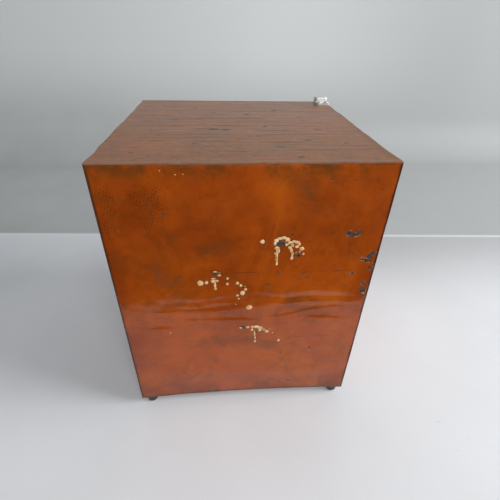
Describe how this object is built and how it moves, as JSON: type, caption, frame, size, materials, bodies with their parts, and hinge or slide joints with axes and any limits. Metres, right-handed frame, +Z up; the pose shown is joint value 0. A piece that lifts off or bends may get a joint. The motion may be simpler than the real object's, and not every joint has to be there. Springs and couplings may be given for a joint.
{
  "type": "street fire alarm box",
  "caption": "Steel street fire alarm box with a hinged door, break-glass window, T-handle latch, glass hammer, pull lever, clockwork code transmitter, bell and telegraph key.",
  "frame": {"origin": "centre of the four post-bolt holes, in the underside of the base pan; the feet reach 15 mm below", "axes": "+Z up, -Y out of the door, +X to the right of someone facing the door"},
  "size_m": [0.34, 0.364, 0.4295],
  "materials": {
    "red": "gloss enamel, worn",
    "steel": "zinc plated",
    "black_iron": "black japan",
    "chrome": "polished",
    "brass": "satin, lightly tarnished",
    "rubber": "matt",
    "glass": "clear",
    "white_enamel": "gloss enamel",
    "wood": "varnished",
    "ebonite": "moulded",
    "red_grip": "moulded",
    "paper": "printed card, plain",
    "porcelain": "glazed",
    "gong": "nickel plated",
    "winding": "silk covered wire",
    "cloth_lead": "braided cotton"
  },
  "bodies": {
    "case": {"rear_panel": "red", "side_panel_left": "red", "side_panel_right": "red", "top_cover": "red", "base_pan": "red", "door_frame": "red", "door_seal": "rubber", "rubber_feet": "rubber", "case_screws": "steel", "hinge_block_top": "chrome", "hinge_plate_bottom": "chrome", "hinge_pins": "steel", "board_rails": "black_iron", "mechanism_board": "wood", "board_screws": "brass", "battery_tray": "black_iron", "battery_cells": "paper", "battery_terminals": "brass", "cable_gland": "brass", "movement_plates": "brass", "movement_pillars": "brass", "pull_plate": "white_enamel", "contact_block": "brass", "bell_gong": "gong", "gong_post": "steel", "bell_frame": "black_iron", "bell_coils": "winding", "terminal_block": "ebonite", "arrester_base": "porcelain", "arrester_plates": "brass", "wiring_leads": "cloth_lead", "key_block": "wood", "key_base": "brass"},
    "door": {"hinge_leaves": "steel", "door_panel": "red", "window_bezel": "chrome", "window_gasket": "rubber", "window_glass": "glass", "glass_retainer": "steel", "door_screws": "steel", "instruction_plate": "white_enamel", "lock_escutcheon": "chrome", "lock_case": "black_iron", "hammer_clips": "steel"},
    "latch": {"door_handle": "chrome", "latch_cam": "steel"},
    "keyhole_flap": {"keyhole_cover": "chrome"},
    "hammer": {"break_hammer": "chrome"},
    "lever": {"pull_lever": "steel", "pull_grip": "red_grip"},
    "winder": {"winding_arbor": "steel"},
    "wheel": {"great_wheel": "brass", "click": "steel", "mainspring": "steel"},
    "coder": {"code_wheel": "brass"},
    "fly": {"governor": "brass"},
    "contact": {"contact_lever": "steel"},
    "striker": {"bell_hammer": "steel"},
    "key": {"key_lever": "brass", "key_knob": "ebonite"}
  },
  "joints": [
    {"name": "door_swing", "type": "hinge", "parent": "case", "child": "door", "pos_m": [-0.163, -0.162, 0.2], "axis": [0, 0, -1], "range_deg": [0, 110]},
    {"name": "latch_turn", "type": "hinge", "parent": "door", "child": "latch", "pos_m": [0.13, -0.168, 0.15], "axis": [0, -1, 0], "range_deg": [0, 90]},
    {"name": "keyhole_flap_swing", "type": "hinge", "parent": "door", "child": "keyhole_flap", "pos_m": [0.13, -0.172, 0.112], "axis": [0, 1, 0], "range_deg": [-100, 100]},
    {"name": "hammer_pull", "type": "slide", "parent": "door", "child": "hammer", "axis": [0, -1, 0], "range_m": [0, 0.04]},
    {"name": "lever_pull", "type": "hinge", "parent": "case", "child": "lever", "pos_m": [-0.048, -0.06, 0.312], "axis": [0, 1, 0], "range_deg": [0, 50], "stiffness_Nm_per_rad": 0.5, "springref_deg": -34.38},
    {"name": "arbor_wind", "type": "hinge", "parent": "case", "child": "winder", "pos_m": [-0.01425, -0.06, 0.27178], "axis": [0, 1, 0], "range_deg": [-300, 0]},
    {"name": "great_wheel_turn", "type": "hinge", "parent": "case", "child": "wheel", "pos_m": [-0.01425, -0.046, 0.27178], "axis": [0, 1, 0], "continuous": true},
    {"name": "code_wheel_turn", "type": "hinge", "parent": "case", "child": "coder", "pos_m": [0.00675, -0.046, 0.23541], "axis": [0, 1, 0], "continuous": true},
    {"name": "governor_turn", "type": "hinge", "parent": "case", "child": "fly", "pos_m": [0.03432, -0.046, 0.24027], "axis": [0, 1, 0], "continuous": true},
    {"name": "contact_rock", "type": "hinge", "parent": "case", "child": "contact", "pos_m": [-0.023, -0.06, 0.214], "axis": [0, -1, 0], "range_deg": [0, 3], "stiffness_Nm_per_rad": 0.02, "springref_deg": -11.46},
    {"name": "bell_strike", "type": "hinge", "parent": "case", "child": "striker", "pos_m": [-0.0965, -0.026, 0.03], "axis": [0, 1, 0], "range_deg": [0, 1.9], "stiffness_Nm_per_rad": 0.1, "springref_deg": -17.19},
    {"name": "key_press", "type": "hinge", "parent": "case", "child": "key", "pos_m": [0.07, -0.07, 0.047], "axis": [1, 0, 0], "range_deg": [0, 2], "stiffness_Nm_per_rad": 0.6, "springref_deg": -6.88}
  ],
  "couplings": [
    {"joint": "arbor_wind", "follows": "lever_pull", "ratio": -6},
    {"joint": "code_wheel_turn", "follows": "great_wheel_turn", "ratio": -6},
    {"joint": "governor_turn", "follows": "great_wheel_turn", "ratio": 36}
  ]
}
